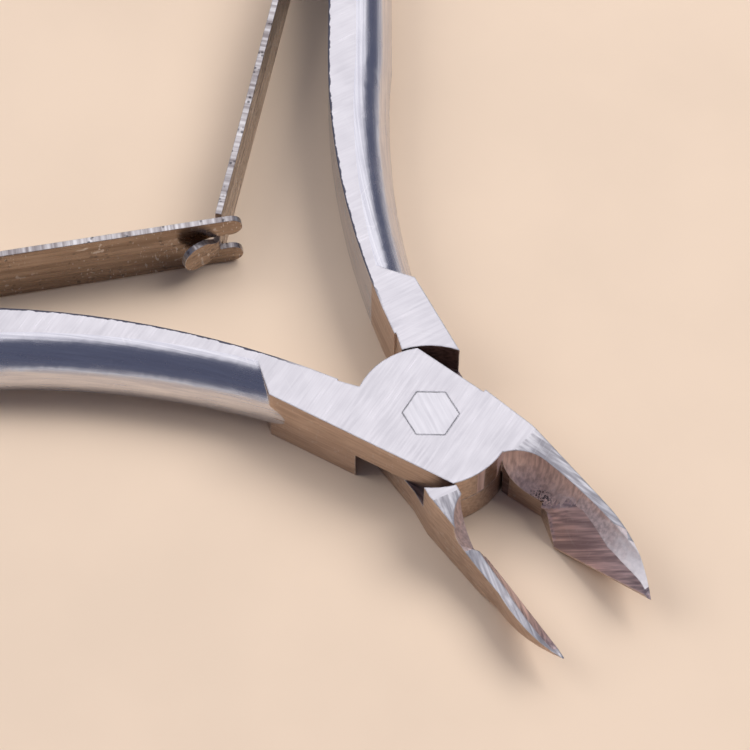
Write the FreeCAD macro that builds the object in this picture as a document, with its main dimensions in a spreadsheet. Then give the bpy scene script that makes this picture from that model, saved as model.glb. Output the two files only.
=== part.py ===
"""Half-lap cuticle nipper, jaws open, lying flat.

Frame: origin on the pivot axis at the underside, +X toward the jaws, +Y to the left, +Z up.
The upper lever carries the upper half of the lap and the handle at -Y; the lower lever carries
the lower half and the handle at +Y.  Lengths are in millimetres and angles in degrees.
"""
import FreeCAD, Part
import math
import os

import Sketcher

Vec = FreeCAD.Vector
Turn = FreeCAD.Rotation
Place = FreeCAD.Placement
UP = Vec(0, 0, 1)

SIZES = {
    "Thickness": 5.2,
    "LapGap": 0.04,
    "PlateRadius": 5.2,
    "NoseRadius": 5.58,
    "ShoulderGap": 0.13,
    "HexRadius": 1.93,
    "ShankRadius": 1.3,
    "ShankFit": 0.04,
    "BarWidth": 4.6,
    "BarRound": 2.6,
    "BarRootWidth": 2.9,
    "RootX": -6.2,
    "RootY": -2.62,
    "RootAngle": 21.5,
    "WallX": -8.5,
    "WallY": -6.8,
    "WallAngle": 17.0,
    "FlareRadius": 62.0,
    "FlareAngle": 44.0,
    "FlareLength": 14.3,
    "ElbowRadius": 6.0,
    "SeatAngle": 18.0,
    "SeatLength": 9.5,
    "BowRadius": 32.0,
    "TailAngle": 5.0,
    "TailLength": 22.5,
    "JawLength": 19.2,
    "UpperJawRoot": 3.85,
    "UpperJawWall": 3.0,
    "LowerJawRoot": 3.0,
    "LowerJawWall": 1.6,
    "HeelReach": 11.1,
    "TipTop": 3.3,
    "TipBottom": 2.95,
    "EdgeInset": 0.03,
    "BevelStart": 6.0,
    "BladeLean": 21.0,
    "ScoopRadius": 3.0,
    "ScoopRise": 8.0,
    "UpperScoopStart": 8.1,
    "LowerScoopStart": 8.9,
    "JawNoseRadius": 11.0,
    "UpperJawTurn": 4.2,
    "LowerJawTurn": 17.2,
    "LeafThick": 0.45,
    "LeafWidth": 5.0,
    "LeafFloor": 0.1,
    "KneeRadius": 3.0,
    "TabEnd": 9.0,
    "ForkAngle": 57.0,
    "ForkKnee": -0.4,
    "ForkReach": 33.8,
    "SlotHeight": 1.6,
    "SlotLength": 2.3,
    "TongueAngle": 55.0,
    "TongueKnee": 1.1,
    "NeckBack": 0.55,
    "NeckHeight": 1.2,
    "NeckLength": 1.0,
    "HeadHeight": 2.4,
    "HeadLength": 2.7,
    "HeadBend": 45.0,
    "HeadTaper": 0.9,
    "ScrewRadius": 0.95,
    "ScrewDepth": 3.2,
    "HeadRadius": 1.75,
    "HeadRise": 0.9,
    "ScrewSlot": 0.45,
    "ScrewSlotDepth": 0.4,
    "ScrewAlong": 5.2,
}

doc = FreeCAD.newDocument("Nipper")
sheet = doc.addObject("Spreadsheet::Sheet", "Sizes")
for row, (alias, number) in enumerate(SIZES.items(), start=1):
    sheet.set("A%d" % row, alias)
    sheet.set("B%d" % row, repr(number))
    sheet.setAlias("B%d" % row, alias)
doc.recompute()


def size(alias):
    """The number in the sheet's cell of that name."""
    return float(getattr(sheet, alias))


def bind(obj, **rules):
    """Bind properties to formulas of the sheet's cells."""
    for prop, rule in rules.items():
        obj.setExpression(prop, rule)
    return obj


def put(obj, base=(0, 0, 0), turn=None):
    """Place an object."""
    obj.Placement = Place(Vec(*base), turn or Turn())
    return obj


def box(label, length, width, height, base=(0, 0, 0), turn=None):
    """A block whose three sides are formulas."""
    return put(bind(doc.addObject("Part::Box", label), Length=length, Width=width, Height=height), base, turn)


def rod(label, radius, height, base=(0, 0, 0), turn=None, angle=360.0):
    """A cylinder, or a sector of one."""
    obj = bind(doc.addObject("Part::Cylinder", label), Radius=radius, Height=height)
    obj.Angle = angle
    return put(obj, base, turn)


def fuse(label, *parts):
    """One solid from several that overlap."""
    obj = doc.addObject("Part::MultiFuse", label)
    obj.Shapes = list(parts)
    obj.Refine = True
    return obj


def cut(label, base, *tools):
    """A solid with others taken away in turn."""
    for count, tool in enumerate(tools):
        last = count == len(tools) - 1
        obj = doc.addObject("Part::Cut", label if last else "%sStep%d" % (label, count))
        obj.Base = base
        obj.Tool = tool
        obj.Refine = last
        base = obj
    return base


def common(label, first, second):
    """What two solids share."""
    obj = doc.addObject("Part::Common", label)
    obj.Base = first
    obj.Tool = second
    return obj


def mirrored(label, source):
    """The same form on the other side of the XZ plane."""
    obj = doc.addObject("Part::Mirroring", label)
    obj.Source = source
    obj.Base = Vec(0, 0, 0)
    obj.Normal = Vec(0, 1, 0)
    return obj


def plane(body, role):
    """One of a body's origin planes."""
    return [f for f in body.Origin.OriginFeatures if f.Role == role][0]


def flat_sketch(body, label, role="XY_Plane"):
    """An empty sketch on one of the body's origin planes."""
    sketch = body.newObject("Sketcher::SketchObject", label)
    sketch.AttachmentSupport = [(plane(body, role), "")]
    sketch.MapMode = "FlatFace"
    return sketch


def value(rule):
    """The number that a formula of the sheet gives."""
    if isinstance(rule, (int, float)):
        return float(rule)
    names = {alias: size(alias) for alias in SIZES}
    total = 0.0
    for term in rule.replace("-", "+-").split("+"):
        term = term.strip()
        if not term:
            continue
        sign = -1.0 if term.startswith("-") else 1.0
        product = sign
        for factor in term.lstrip("-").split("*"):
            factor = factor.strip().replace("Sizes.", "")
            product *= names[factor] if factor in names else float(factor)
        total += product
    return total


def outline(body, label, corners):
    """A closed sketch through corners; a corner with a third entry ends an arc of that radius."""
    sketch = flat_sketch(body, label)
    spots = [Vec(value(c[0]), value(c[1]), 0) for c in corners]
    for index, corner in enumerate(corners):
        start = spots[index - 1]
        end = spots[index]
        if len(corner) > 2:
            radius = abs(value(corner[2]))
            side = 1.0 if value(corner[2]) > 0 else -1.0
            chord = end - start
            reach = math.sqrt(radius ** 2 - chord.Length ** 2 / 4)
            across = Vec(-chord.y, chord.x, 0).normalize() * side
            centre = start + chord * 0.5 + across * reach
            middle = centre - across * radius
            sketch.addGeometry(Part.Arc(start, middle, end), False)
        else:
            sketch.addGeometry(Part.LineSegment(start, end), False)
    for index, corner in enumerate(corners):
        tail = 2 if len(corner) < 3 or value(corner[2]) > 0 else 1
        for axis, entry in (("DistanceX", corner[0]), ("DistanceY", corner[1])):
            number = sketch.addConstraint(Sketcher.Constraint(axis, -1, 1, index, tail, value(entry)))
            if isinstance(entry, str):
                sketch.setExpression("Constraints[%d]" % number, entry)
        following = (index + 1) % len(corners)
        head = 1 if len(corners[following]) < 3 or value(corners[following][2]) > 0 else 2
        sketch.addConstraint(Sketcher.Constraint("Coincident", index, tail, following, head))
        if len(corner) > 2:
            sketch.addConstraint(Sketcher.Constraint("Radius", index, abs(value(corner[2]))))
    return sketch


def prism(label, corners, height="Sizes.Thickness"):
    """A pad of an outline that stands on the underside plane."""
    body = doc.addObject("PartDesign::Body", label)
    sketch = outline(body, label + "Outline", corners)
    pad = body.newObject("PartDesign::Pad", label + "Pad")
    pad.Profile = sketch
    bind(pad, Length=height)
    return body


def along(heading, distance):
    """A step of that length in the plan."""
    return Vec(math.cos(math.radians(heading)), math.sin(math.radians(heading)), 0) * distance


def out_of(heading, distance):
    """A step outward, away from the other handle."""
    return along(heading + 90.0, distance)


def pin(sketch, kind, where, number, rule=None):
    """A dimension of a sketch, bound to a formula where one is given."""
    index = sketch.addConstraint(Sketcher.Constraint(kind, *where, number))
    if isinstance(rule, str):
        sketch.setExpression("Constraints[%d]" % index, rule)


def chain(body, label, start, steps):
    """An open path of lines and tangent arcs.

    start is (x, y, heading); a step is ("line", length) or ("arc", radius, new heading).
    """
    sketch = flat_sketch(body, label)
    here = Vec(value(start[0]), value(start[1]), 0)
    heading = value(start[2])
    marks = [(here, heading)]
    last_end = 0
    for index, step in enumerate(steps):
        forward = along(heading, 1.0)
        if step[0] == "line":
            there = here + forward * value(step[1])
            sketch.addGeometry(Part.LineSegment(here, there), False)
            pin(sketch, "Distance", (index,), value(step[1]), step[1])
            pin(sketch, "Angle", (index,), math.radians((heading + 180.0) % 360.0 - 180.0))
            ends = (1, 2)
        else:
            radius = value(step[1])
            new = value(step[2])
            side = 1.0 if new > heading else -1.0
            centre = here + out_of(heading, radius * side)
            middle = centre + Turn(UP, (new - heading) / 2).multVec(here - centre)
            there = centre + Turn(UP, new - heading).multVec(here - centre)
            sketch.addGeometry(Part.Arc(here, middle, there), False)
            pin(sketch, "Radius", (index,), radius, step[1])
            ends = (1, 2) if side > 0 else (2, 1)
            if index == 0:
                pin(sketch, "DistanceX", (-1, 1, index, 3), centre.x)
            heading = new
        if index:
            sketch.addConstraint(Sketcher.Constraint("Tangent", index - 1, last_end, index, ends[0]))
        else:
            pin(sketch, "DistanceX", (-1, 1, 0, ends[0]), here.x, start[0])
            pin(sketch, "DistanceY", (-1, 1, 0, ends[0]), here.y, start[1])
        last_end = ends[1]
        here = there
        marks.append((here, heading))
    return sketch, marks


def section_at(body, label, spot, heading):
    """A sketch that stands across a path; its first axis points outward."""
    sketch = flat_sketch(body, label, "YZ_Plane")
    sketch.AttachmentOffset = Place(Vec(spot.y, 0, spot.x), Turn(Vec(0, 1, 0), heading - 180.0))
    return sketch


def bar_section(sketch, width):
    """Flat inner face, flat top and bottom, half-round outer side."""
    tall = size("Thickness")
    flat = size("BarRound") - size(width)
    sketch.addGeometry(Part.LineSegment(Vec(0, 0, 0), Vec(0, tall, 0)), False)
    sketch.addGeometry(Part.LineSegment(Vec(0, tall, 0), Vec(flat, tall, 0)), False)
    sketch.addGeometry(
        Part.Arc(Vec(flat, tall, 0), Vec(-size(width), tall / 2, 0), Vec(flat, 0, 0)), False
    )
    sketch.addGeometry(Part.LineSegment(Vec(flat, 0, 0), Vec(0, 0, 0)), False)
    sketch.addConstraint(Sketcher.Constraint("Coincident", 0, 1, -1, 1))
    sketch.addConstraint(Sketcher.Constraint("Vertical", 0))
    sketch.addConstraint(Sketcher.Constraint("Horizontal", 1))
    sketch.addConstraint(Sketcher.Constraint("Horizontal", 3))
    sketch.addConstraint(Sketcher.Constraint("Coincident", 0, 2, 1, 1))
    sketch.addConstraint(Sketcher.Constraint("Coincident", 3, 2, 0, 1))
    sketch.addConstraint(Sketcher.Constraint("Tangent", 1, 2, 2, 1))
    sketch.addConstraint(Sketcher.Constraint("Tangent", 2, 2, 3, 1))
    pin(sketch, "DistanceY", (0, 1, 0, 2), tall, "Sizes.Thickness")
    pin(sketch, "DistanceX", (1, 2, 1, 1), -flat, "Sizes.%s - Sizes.BarRound" % width)


def sweep(label, start, steps, widths):
    """A bar swept along a flat path, from the first width to the last."""
    body = doc.addObject("PartDesign::Body", label)
    path, marks = chain(body, label + "Path", start, steps)
    first = section_at(body, label + "Section", *marks[0])
    bar_section(first, widths[0])
    pipe = body.newObject("PartDesign::AdditivePipe", label + "Pipe")
    pipe.Profile = first
    pipe.Spine = path
    if len(widths) > 1:
        last = section_at(body, label + "EndSection", *marks[-1])
        bar_section(last, widths[1])
        pipe.Sections = [last]
        pipe.Transformation = "Multisection"
    return body, marks


def leaf_section(sketch):
    """Upright rectangle, centred on the path."""
    half = size("LeafThick") / 2
    low = size("LeafFloor")
    high = low + size("LeafWidth")
    spots = [Vec(-half, low, 0), Vec(half, low, 0), Vec(half, high, 0), Vec(-half, high, 0)]
    for index in range(4):
        sketch.addGeometry(Part.LineSegment(spots[index], spots[(index + 1) % 4]), False)
    for index in range(4):
        sketch.addConstraint(Sketcher.Constraint("Coincident", index, 2, (index + 1) % 4, 1))
    for index, kind in enumerate(("Horizontal", "Vertical", "Horizontal", "Vertical")):
        sketch.addConstraint(Sketcher.Constraint(kind, index))
    for rule in (
        ("DistanceX", 0, 1, 0, 2, 2 * half, "Sizes.LeafThick"),
        ("DistanceX", -1, 1, 0, 2, half, "Sizes.LeafThick / 2"),
        ("DistanceY", -1, 1, 0, 1, low, "Sizes.LeafFloor"),
        ("DistanceY", 1, 1, 1, 2, high - low, "Sizes.LeafWidth"),
    ):
        number = sketch.addConstraint(Sketcher.Constraint(*rule[:-1]))
        sketch.setExpression("Constraints[%d]" % number, rule[-1])


# The handle bar has one form for both levers and is drawn on the -Y side.
THICK = size("Thickness")
HALF = THICK / 2
flare, flare_marks = sweep(
    "Flare",
    ("Sizes.RootX", "Sizes.RootY", 180.0 + size("RootAngle")),
    [("arc", "Sizes.FlareRadius", 180.0 + size("FlareAngle"))],
    ("BarRootWidth", "BarWidth"),
)
flare_end, flare_heading = flare_marks[1]
grip, grip_marks = sweep(
    "Grip",
    (flare_end.x, flare_end.y, flare_heading),
    [
        ("line", "Sizes.FlareLength"),
        ("arc", "Sizes.ElbowRadius", 180.0 + size("SeatAngle")),
        ("line", "Sizes.SeatLength"),
        ("arc", "Sizes.BowRadius", 180.0 - size("TailAngle")),
        ("line", "Sizes.TailLength"),
    ],
    ("BarWidth",),
)
bar = fuse("Bar", flare, grip)
seat_start, seat_heading = grip_marks[2]
tail_end, tail_heading = grip_marks[5]

# The end of the bar is round in plan.
end_block = box(
    "EndBlock", "6", "Sizes.BarWidth + 2", "Sizes.Thickness + 2",
    tail_end + along(tail_heading, -size("BarWidth") / 2) + out_of(tail_heading, -1.0) - UP,
    Turn(UP, tail_heading),
)
end_round = rod(
    "EndRound", "Sizes.BarWidth / 2", "Sizes.Thickness + 2",
    tail_end + along(tail_heading, -size("BarWidth") / 2)
    + out_of(tail_heading, size("BarWidth") / 2) - UP,
)
end_cut = cut("EndCut", end_block, end_round)
# A milled flat seats the leaf, with a tapped hole in its middle.
seat_cut = box(
    "SeatCut", "Sizes.SeatLength + 4", "2", "Sizes.Thickness + 2",
    seat_start + along(seat_heading, -3.0) + out_of(seat_heading, -2.0) - UP,
    Turn(UP, seat_heading),
)
screw_spot = seat_start + along(seat_heading, size("ScrewAlong")) + UP * HALF
SCREW_TURN = Turn(UP, out_of(seat_heading, 1.0))
screw_hole = rod("ScrewHole", "Sizes.ScrewRadius", "Sizes.ScrewDepth + 0.3", screw_spot, SCREW_TURN)
handle = cut("Handle", bar, end_cut, seat_cut, screw_hole)


# The root block and the lap plate are drawn for the upper lever.
def on_wall(x):
    """The corner at that X of the straight outer wall that the root and the plate share."""
    return (x, size("WallY") + (x - size("WallX")) * math.tan(math.radians(size("WallAngle"))))


root = prism(
    "Root",
    [(-11.2, -5.45), on_wall(-8.5), on_wall(3.4), (0.5, -1.6), (-3.0, -1.0), (-5.0, -2.12)],
)
band = prism("Band", [on_wall(-6.0), on_wall(6.5), (6.5, 4.5), (-6.0, 2.7)])
disc_back = rod("DiscBack", "Sizes.PlateRadius", "Sizes.Thickness", turn=Turn(UP, 90.0), angle=180.0)
disc_front = rod("DiscFront", "Sizes.NoseRadius", "Sizes.Thickness", turn=Turn(UP, -90.0), angle=180.0)
disc = fuse("Disc", disc_back, disc_front)
plate = common("Plate", disc, band)


# A jaw is drawn with its cutting edge on the XZ plane.
def rise(run_start, z_start, run_end, z_end):
    """Slope angle between two points of the side view."""
    return math.degrees(math.atan2(z_end - z_start, run_end - run_start))


BEVEL = rise(size("BevelStart"), THICK, size("JawLength"), size("TipTop"))
bevel_cut = box(
    "BevelCut", "20", "12", "6", (size("BevelStart"), -4, THICK), Turn(Vec(0, 1, 0), -BEVEL),
)
RISE = rise(size("HeelReach"), 0.0, size("JawLength"), size("TipBottom"))
rise_cut = box(
    "RiseCut", "20", "12", "6",
    Vec(size("HeelReach"), -4, 0) + Turn(Vec(0, 1, 0), -RISE).multVec(Vec(0, 0, -6)),
    Turn(Vec(0, 1, 0), -RISE),
)
# The blade facet leans back from the cutting edge and follows the rising underside.
blade_turn = Turn(Vec(0, 1, 0), -RISE).multiply(Turn(Vec(1, 0, 0), -size("BladeLean")))
blade_cut = box(
    "BladeCut", "12", "4", "8",
    Vec(size("HeelReach"), size("EdgeInset"), 0.18)
    + blade_turn.multVec(Vec(-1.2, -4, -0.001)),
    blade_turn,
)
# The hollow is a round groove that starts with a ball end behind the heel.
scoop_turn = Turn(Vec(0, 1, 0), 90.0 - size("ScoopRise"))


def scoop(label, start):
    """The ball end and the groove that the jaw's upper inner side is ground with."""
    spot = Vec(size(start), -0.45, 4.45)
    groove = rod(label + "Groove", "Sizes.ScoopRadius", "14", spot, scoop_turn)
    ball = bind(doc.addObject("Part::Sphere", label + "Ball"), Radius="Sizes.ScoopRadius")
    ball.Placement = Place(spot, Turn())
    return groove, ball


def jaw(label, root_width, wall, start):
    """A jaw with its outer wall at the root and at two thirds of its length, and its hollow."""
    block = prism(
        label + "Block",
        [
            (1.5, 1.0),
            (6.2, 1.0),
            (8.9, 1.3),
            ("Sizes.HeelReach", "Sizes.EdgeInset"),
            ("Sizes.JawLength", "Sizes.EdgeInset"),
            (12.9, wall, "Sizes.JawNoseRadius"),
            (5.6, root_width),
            (1.5, root_width),
        ],
    )
    return cut(label, block, bevel_cut, rise_cut, blade_cut, *scoop(label + "Scoop", start))


def turned(label, source, angle):
    """The same form turned about the pivot axis."""
    obj = doc.addObject("Part::Compound", label)
    obj.Links = [source]
    obj.Placement = Place(Vec(0, 0, 0), Turn(UP, angle))
    return obj


upper_jaw = turned(
    "UpperJaw",
    jaw("UpperJawForm", "Sizes.UpperJawRoot", "Sizes.UpperJawWall", "UpperScoopStart"),
    size("UpperJawTurn"),
)
lower_form = jaw(
    "LowerJawForm", "Sizes.LowerJawRoot", "Sizes.LowerJawWall", "LowerScoopStart",
)
lower_jaw = turned("LowerJaw", mirrored("LowerJawMirror", lower_form), -size("LowerJawTurn"))


def lap_room(label, level, height):
    """The space that the other lever's plate turns in."""
    back = rod(
        label + "Back", "Sizes.PlateRadius + Sizes.ShoulderGap", height, (0, 0, level),
        Turn(UP, 90.0), 180.0,
    )
    front = rod(
        label + "Front", "Sizes.NoseRadius + Sizes.ShoulderGap", height, (0, 0, level),
        Turn(UP, -90.0), 180.0,
    )
    return fuse(label, back, front)


# The rivet has a hexagonal end in the upper plate and a round shank in the lower one.
hexagon = doc.addObject("Part::Prism", "RivetHex")
hexagon.Polygon = 6
bind(hexagon, Circumradius="Sizes.HexRadius", Height="Sizes.Thickness / 2 - Sizes.LapGap / 2")
put(hexagon, (0, 0, HALF + size("LapGap") / 2), Turn(UP, 45.0))
shank = rod("RivetShank", "Sizes.ShankRadius", "Sizes.Thickness - 0.2")
rivet = fuse("pivot_rivet", shank, hexagon)
hex_hole = doc.addObject("Part::Prism", "HexHole")
hex_hole.Polygon = 6
bind(hex_hole, Circumradius="Sizes.HexRadius", Height="Sizes.Thickness")
put(hex_hole, (0, 0, 0), Turn(UP, 45.0))
bore = rod("Bore", "Sizes.ShankRadius + Sizes.ShankFit", "Sizes.Thickness + 2", (0, 0, -1))

# Each lever is a handle, a root, a plate and a jaw, less the other plate's room.
upper = cut(
    "upper_lever", fuse("UpperBlank", handle, root, plate, upper_jaw),
    lap_room("UpperRoom", -1, "Sizes.Thickness / 2 + Sizes.LapGap / 2 + 1"), hex_hole,
)
lower = cut(
    "lower_lever",
    fuse(
        "LowerBlank", mirrored("HandleMirror", handle), mirrored("RootMirror", root),
        mirrored("PlateMirror", plate), lower_jaw,
    ),
    lap_room("LowerRoom", HALF - size("LapGap") / 2, "Sizes.Thickness"), bore,
)


# The leaf springs are strips on edge; a neck on one stands in a slot of the other.
def knee_corner(knee):
    """Where a leaf's straight run would meet the middle of its tab."""
    return (
        seat_start + along(seat_heading, size(knee)) + out_of(seat_heading, -size("LeafThick") / 2)
    )


def leaf(label, angle, knee, reach):
    """A strip swept from its free end, round a knee, to the tab on the seat (-Y side)."""
    corner = knee_corner(knee)
    bend = size(angle) - size("SeatAngle")
    tangent = size("KneeRadius") * math.tan(math.radians(bend / 2))
    tip = corner - along(180.0 + size(angle), reach)
    body = doc.addObject("PartDesign::Body", label)
    path, marks = chain(
        body, label + "Path", (tip.x, tip.y, 180.0 + size(angle)),
        [
            ("line", reach - tangent),
            ("arc", "Sizes.KneeRadius", 180.0 + size("SeatAngle")),
            ("line", size("TabEnd") - size(knee) - tangent),
        ],
    )
    section = flat_sketch(body, label + "Section", "YZ_Plane")
    section.AttachmentOffset = Place(
        Vec(tip.y, 0, tip.x), Turn(Vec(0, 1, 0), 180.0 + size(angle)),
    )
    leaf_section(section)
    pipe = body.newObject("PartDesign::AdditivePipe", label + "Pipe")
    pipe.Profile = section
    pipe.Spine = path
    return body, tip


MID = size("LeafFloor") + size("LeafWidth") / 2
tab_hole = rod(
    "TabHole", "Sizes.ScrewRadius + 0.05", "3", screw_spot + out_of(seat_heading, -1.5), SCREW_TURN,
)
fork_strip, fork_tip = leaf("ForkStrip", "ForkAngle", "ForkKnee", size("ForkReach"))
fork_back = 180.0 + size("ForkAngle")
fork_slot = box(
    "ForkSlot", "Sizes.SlotLength + 1", "2", "Sizes.SlotHeight",
    fork_tip + along(fork_back, -1.0) + along(fork_back - 90, 1.0) + UP * (MID - size("SlotHeight") / 2),
    Turn(UP, fork_back),
)
slot_end = rod(
    "SlotEnd", "Sizes.SlotHeight / 2", "2",
    fork_tip + along(fork_back, size("SlotLength")) + along(fork_back - 90, 1.0) + UP * MID,
    Turn(UP, along(fork_back + 90, 1.0)),
)


def prong_round(label, low, high):
    """What rounds the free end of a prong: a block less a lying cylinder."""
    radius = (high - low) / 2
    edge = fork_tip + along(fork_back - 90, 1.0)
    block = box(
        label + "Block", "%.6f" % (radius + 1), "2", "%.6f" % (2 * radius + 0.02),
        edge + along(fork_back, -1.0) + UP * (low - 0.01), Turn(UP, fork_back),
    )
    round_end = rod(
        label + "Round", "%.6f" % radius, "2",
        edge + along(fork_back, radius) + UP * (low + radius), Turn(UP, along(fork_back + 90, 1.0)),
    )
    return cut(label, block, round_end)


low_prong = prong_round("LowProng", size("LeafFloor"), MID - size("SlotHeight") / 2)
high_prong = prong_round(
    "HighProng", MID + size("SlotHeight") / 2, size("LeafFloor") + size("LeafWidth"),
)
fork = cut("forked_leaf", fork_strip, fork_slot, slot_end, low_prong, high_prong, tab_hole)


def crossing_reach():
    """Length of the tongued leaf's straight run up to the forked leaf, which crosses it."""
    start = knee_corner("TongueKnee")
    step = along(size("TongueAngle"), 1.0)
    other = Vec(fork_tip.x, -fork_tip.y, 0)
    across = along(90.0 - size("ForkAngle"), 1.0)
    return (other - start).dot(across) / step.dot(across)


tongue_strip, tongue_tip = leaf(
    "TongueStrip", "TongueAngle", "TongueKnee", crossing_reach() - size("NeckBack"),
)
tongue_back = 180.0 + size("TongueAngle")
neck = box(
    "Neck", "Sizes.NeckLength + 0.4", "Sizes.LeafThick", "Sizes.NeckHeight",
    tongue_tip + along(tongue_back, -size("NeckLength") - 0.1)
    + along(tongue_back - 90, size("LeafThick") / 2) + UP * (MID - size("NeckHeight") / 2),
    Turn(UP, tongue_back),
)
head_start = tongue_tip + along(tongue_back, -size("NeckLength"))
head_back = tongue_back + size("HeadBend")
paddle = prism(
    "TongueHead",
    [
        (0.0, "-Sizes.NeckHeight * 0.5"),
        ("Sizes.HeadTaper", "-Sizes.HeadHeight * 0.5"),
        ("Sizes.HeadLength - Sizes.HeadHeight * 0.5", "-Sizes.HeadHeight * 0.5"),
        ("Sizes.HeadLength - Sizes.HeadHeight * 0.5", "Sizes.HeadHeight * 0.5", "Sizes.HeadHeight * 0.55"),
        ("Sizes.HeadTaper", "Sizes.HeadHeight * 0.5"),
        (0.0, "Sizes.NeckHeight * 0.5"),
    ],
    "Sizes.LeafThick",
)
head_step = along(head_back, -1.0)
head_side = Vec(head_step.y, -head_step.x, 0)
paddle.Placement = Place(
    head_start - head_side * (size("LeafThick") / 2) - head_step * 0.1 + UP * MID,
    Turn(head_step, UP, head_side, "ZXY"),
)
tongue_blank = fuse("TongueBlank", tongue_strip, neck, paddle)
tongue = mirrored("tongued_leaf", cut("TongueDrilled", tongue_blank, tab_hole))


def screw(label):
    """A cheese-head screw on the -Y side, its head on the leaf's tab."""
    under = screw_spot + out_of(seat_heading, -size("LeafThick"))
    top = under + out_of(seat_heading, -size("HeadRise"))
    shaft = rod(
        label + "Shaft", "Sizes.ScrewRadius", "Sizes.ScrewDepth + Sizes.LeafThick + 0.2",
        under + out_of(seat_heading, -0.2), SCREW_TURN,
    )
    cap = rod(label + "Cap", "Sizes.HeadRadius", "Sizes.HeadRise", top, SCREW_TURN)
    groove = box(
        label + "Groove", "Sizes.HeadRadius * 2 + 1", "Sizes.ScrewSlotDepth * 2", "Sizes.ScrewSlot",
        top + along(seat_heading, -size("HeadRadius") - 0.5)
        + out_of(seat_heading, -size("ScrewSlotDepth")) - UP * (size("ScrewSlot") / 2),
        Turn(UP, seat_heading),
    )
    return cut(label, fuse(label + "Blank", shaft, cap), groove)


fork_screw = screw("fork_leaf_screw")
tongue_screw = mirrored("tongue_leaf_screw", screw("ScrewForMirror"))

doc.recompute()
nodes = [upper, lower, rivet, fork, tongue, fork_screw, tongue_screw]
for obj in doc.Objects:
    if "Invalid" in obj.State or "Error" in obj.State:
        raise RuntimeError("%s did not build: %s" % (obj.Label, obj.State))
for obj in nodes:
    if obj.Shape.isNull() or not obj.Shape.isValid() or len(obj.Shape.Solids) != 1:
        raise RuntimeError("%s has no valid single solid (%d)" % (obj.Label, len(obj.Shape.Solids)))
os.makedirs("parts", exist_ok=True)
for obj in nodes:
    obj.Shape.exportStep("parts/%s.step" % obj.Label)
    print(obj.Label, "%.1f mm3" % obj.Shape.Volume, obj.Shape.BoundBox)
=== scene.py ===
import logging
import math
from dataclasses import dataclass
from enum import Enum

import bmesh
import bpy
import numpy as np
from mathutils import Euler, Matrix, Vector


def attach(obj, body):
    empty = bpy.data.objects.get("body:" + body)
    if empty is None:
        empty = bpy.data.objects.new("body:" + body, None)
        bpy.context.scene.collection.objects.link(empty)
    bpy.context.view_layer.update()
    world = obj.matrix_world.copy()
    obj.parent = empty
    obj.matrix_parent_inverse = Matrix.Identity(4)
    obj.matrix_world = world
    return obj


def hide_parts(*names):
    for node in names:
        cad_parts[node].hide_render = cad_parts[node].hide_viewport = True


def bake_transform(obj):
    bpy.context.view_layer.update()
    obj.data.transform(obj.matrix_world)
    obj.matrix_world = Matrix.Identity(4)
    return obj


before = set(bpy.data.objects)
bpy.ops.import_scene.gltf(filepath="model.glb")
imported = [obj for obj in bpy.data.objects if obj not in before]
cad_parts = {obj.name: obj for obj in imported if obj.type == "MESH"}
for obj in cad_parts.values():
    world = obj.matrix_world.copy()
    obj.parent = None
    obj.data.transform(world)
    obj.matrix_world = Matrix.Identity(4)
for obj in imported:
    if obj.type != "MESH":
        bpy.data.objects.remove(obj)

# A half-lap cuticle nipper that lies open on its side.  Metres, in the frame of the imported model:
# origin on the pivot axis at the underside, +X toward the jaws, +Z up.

log = logging.getLogger("nipper")
MM = 0.001
MERGE_STEP = 0.001 * MM
IN_SCOOP = 1
ON_FACET = 2
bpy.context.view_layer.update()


# Shader wiring


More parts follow.
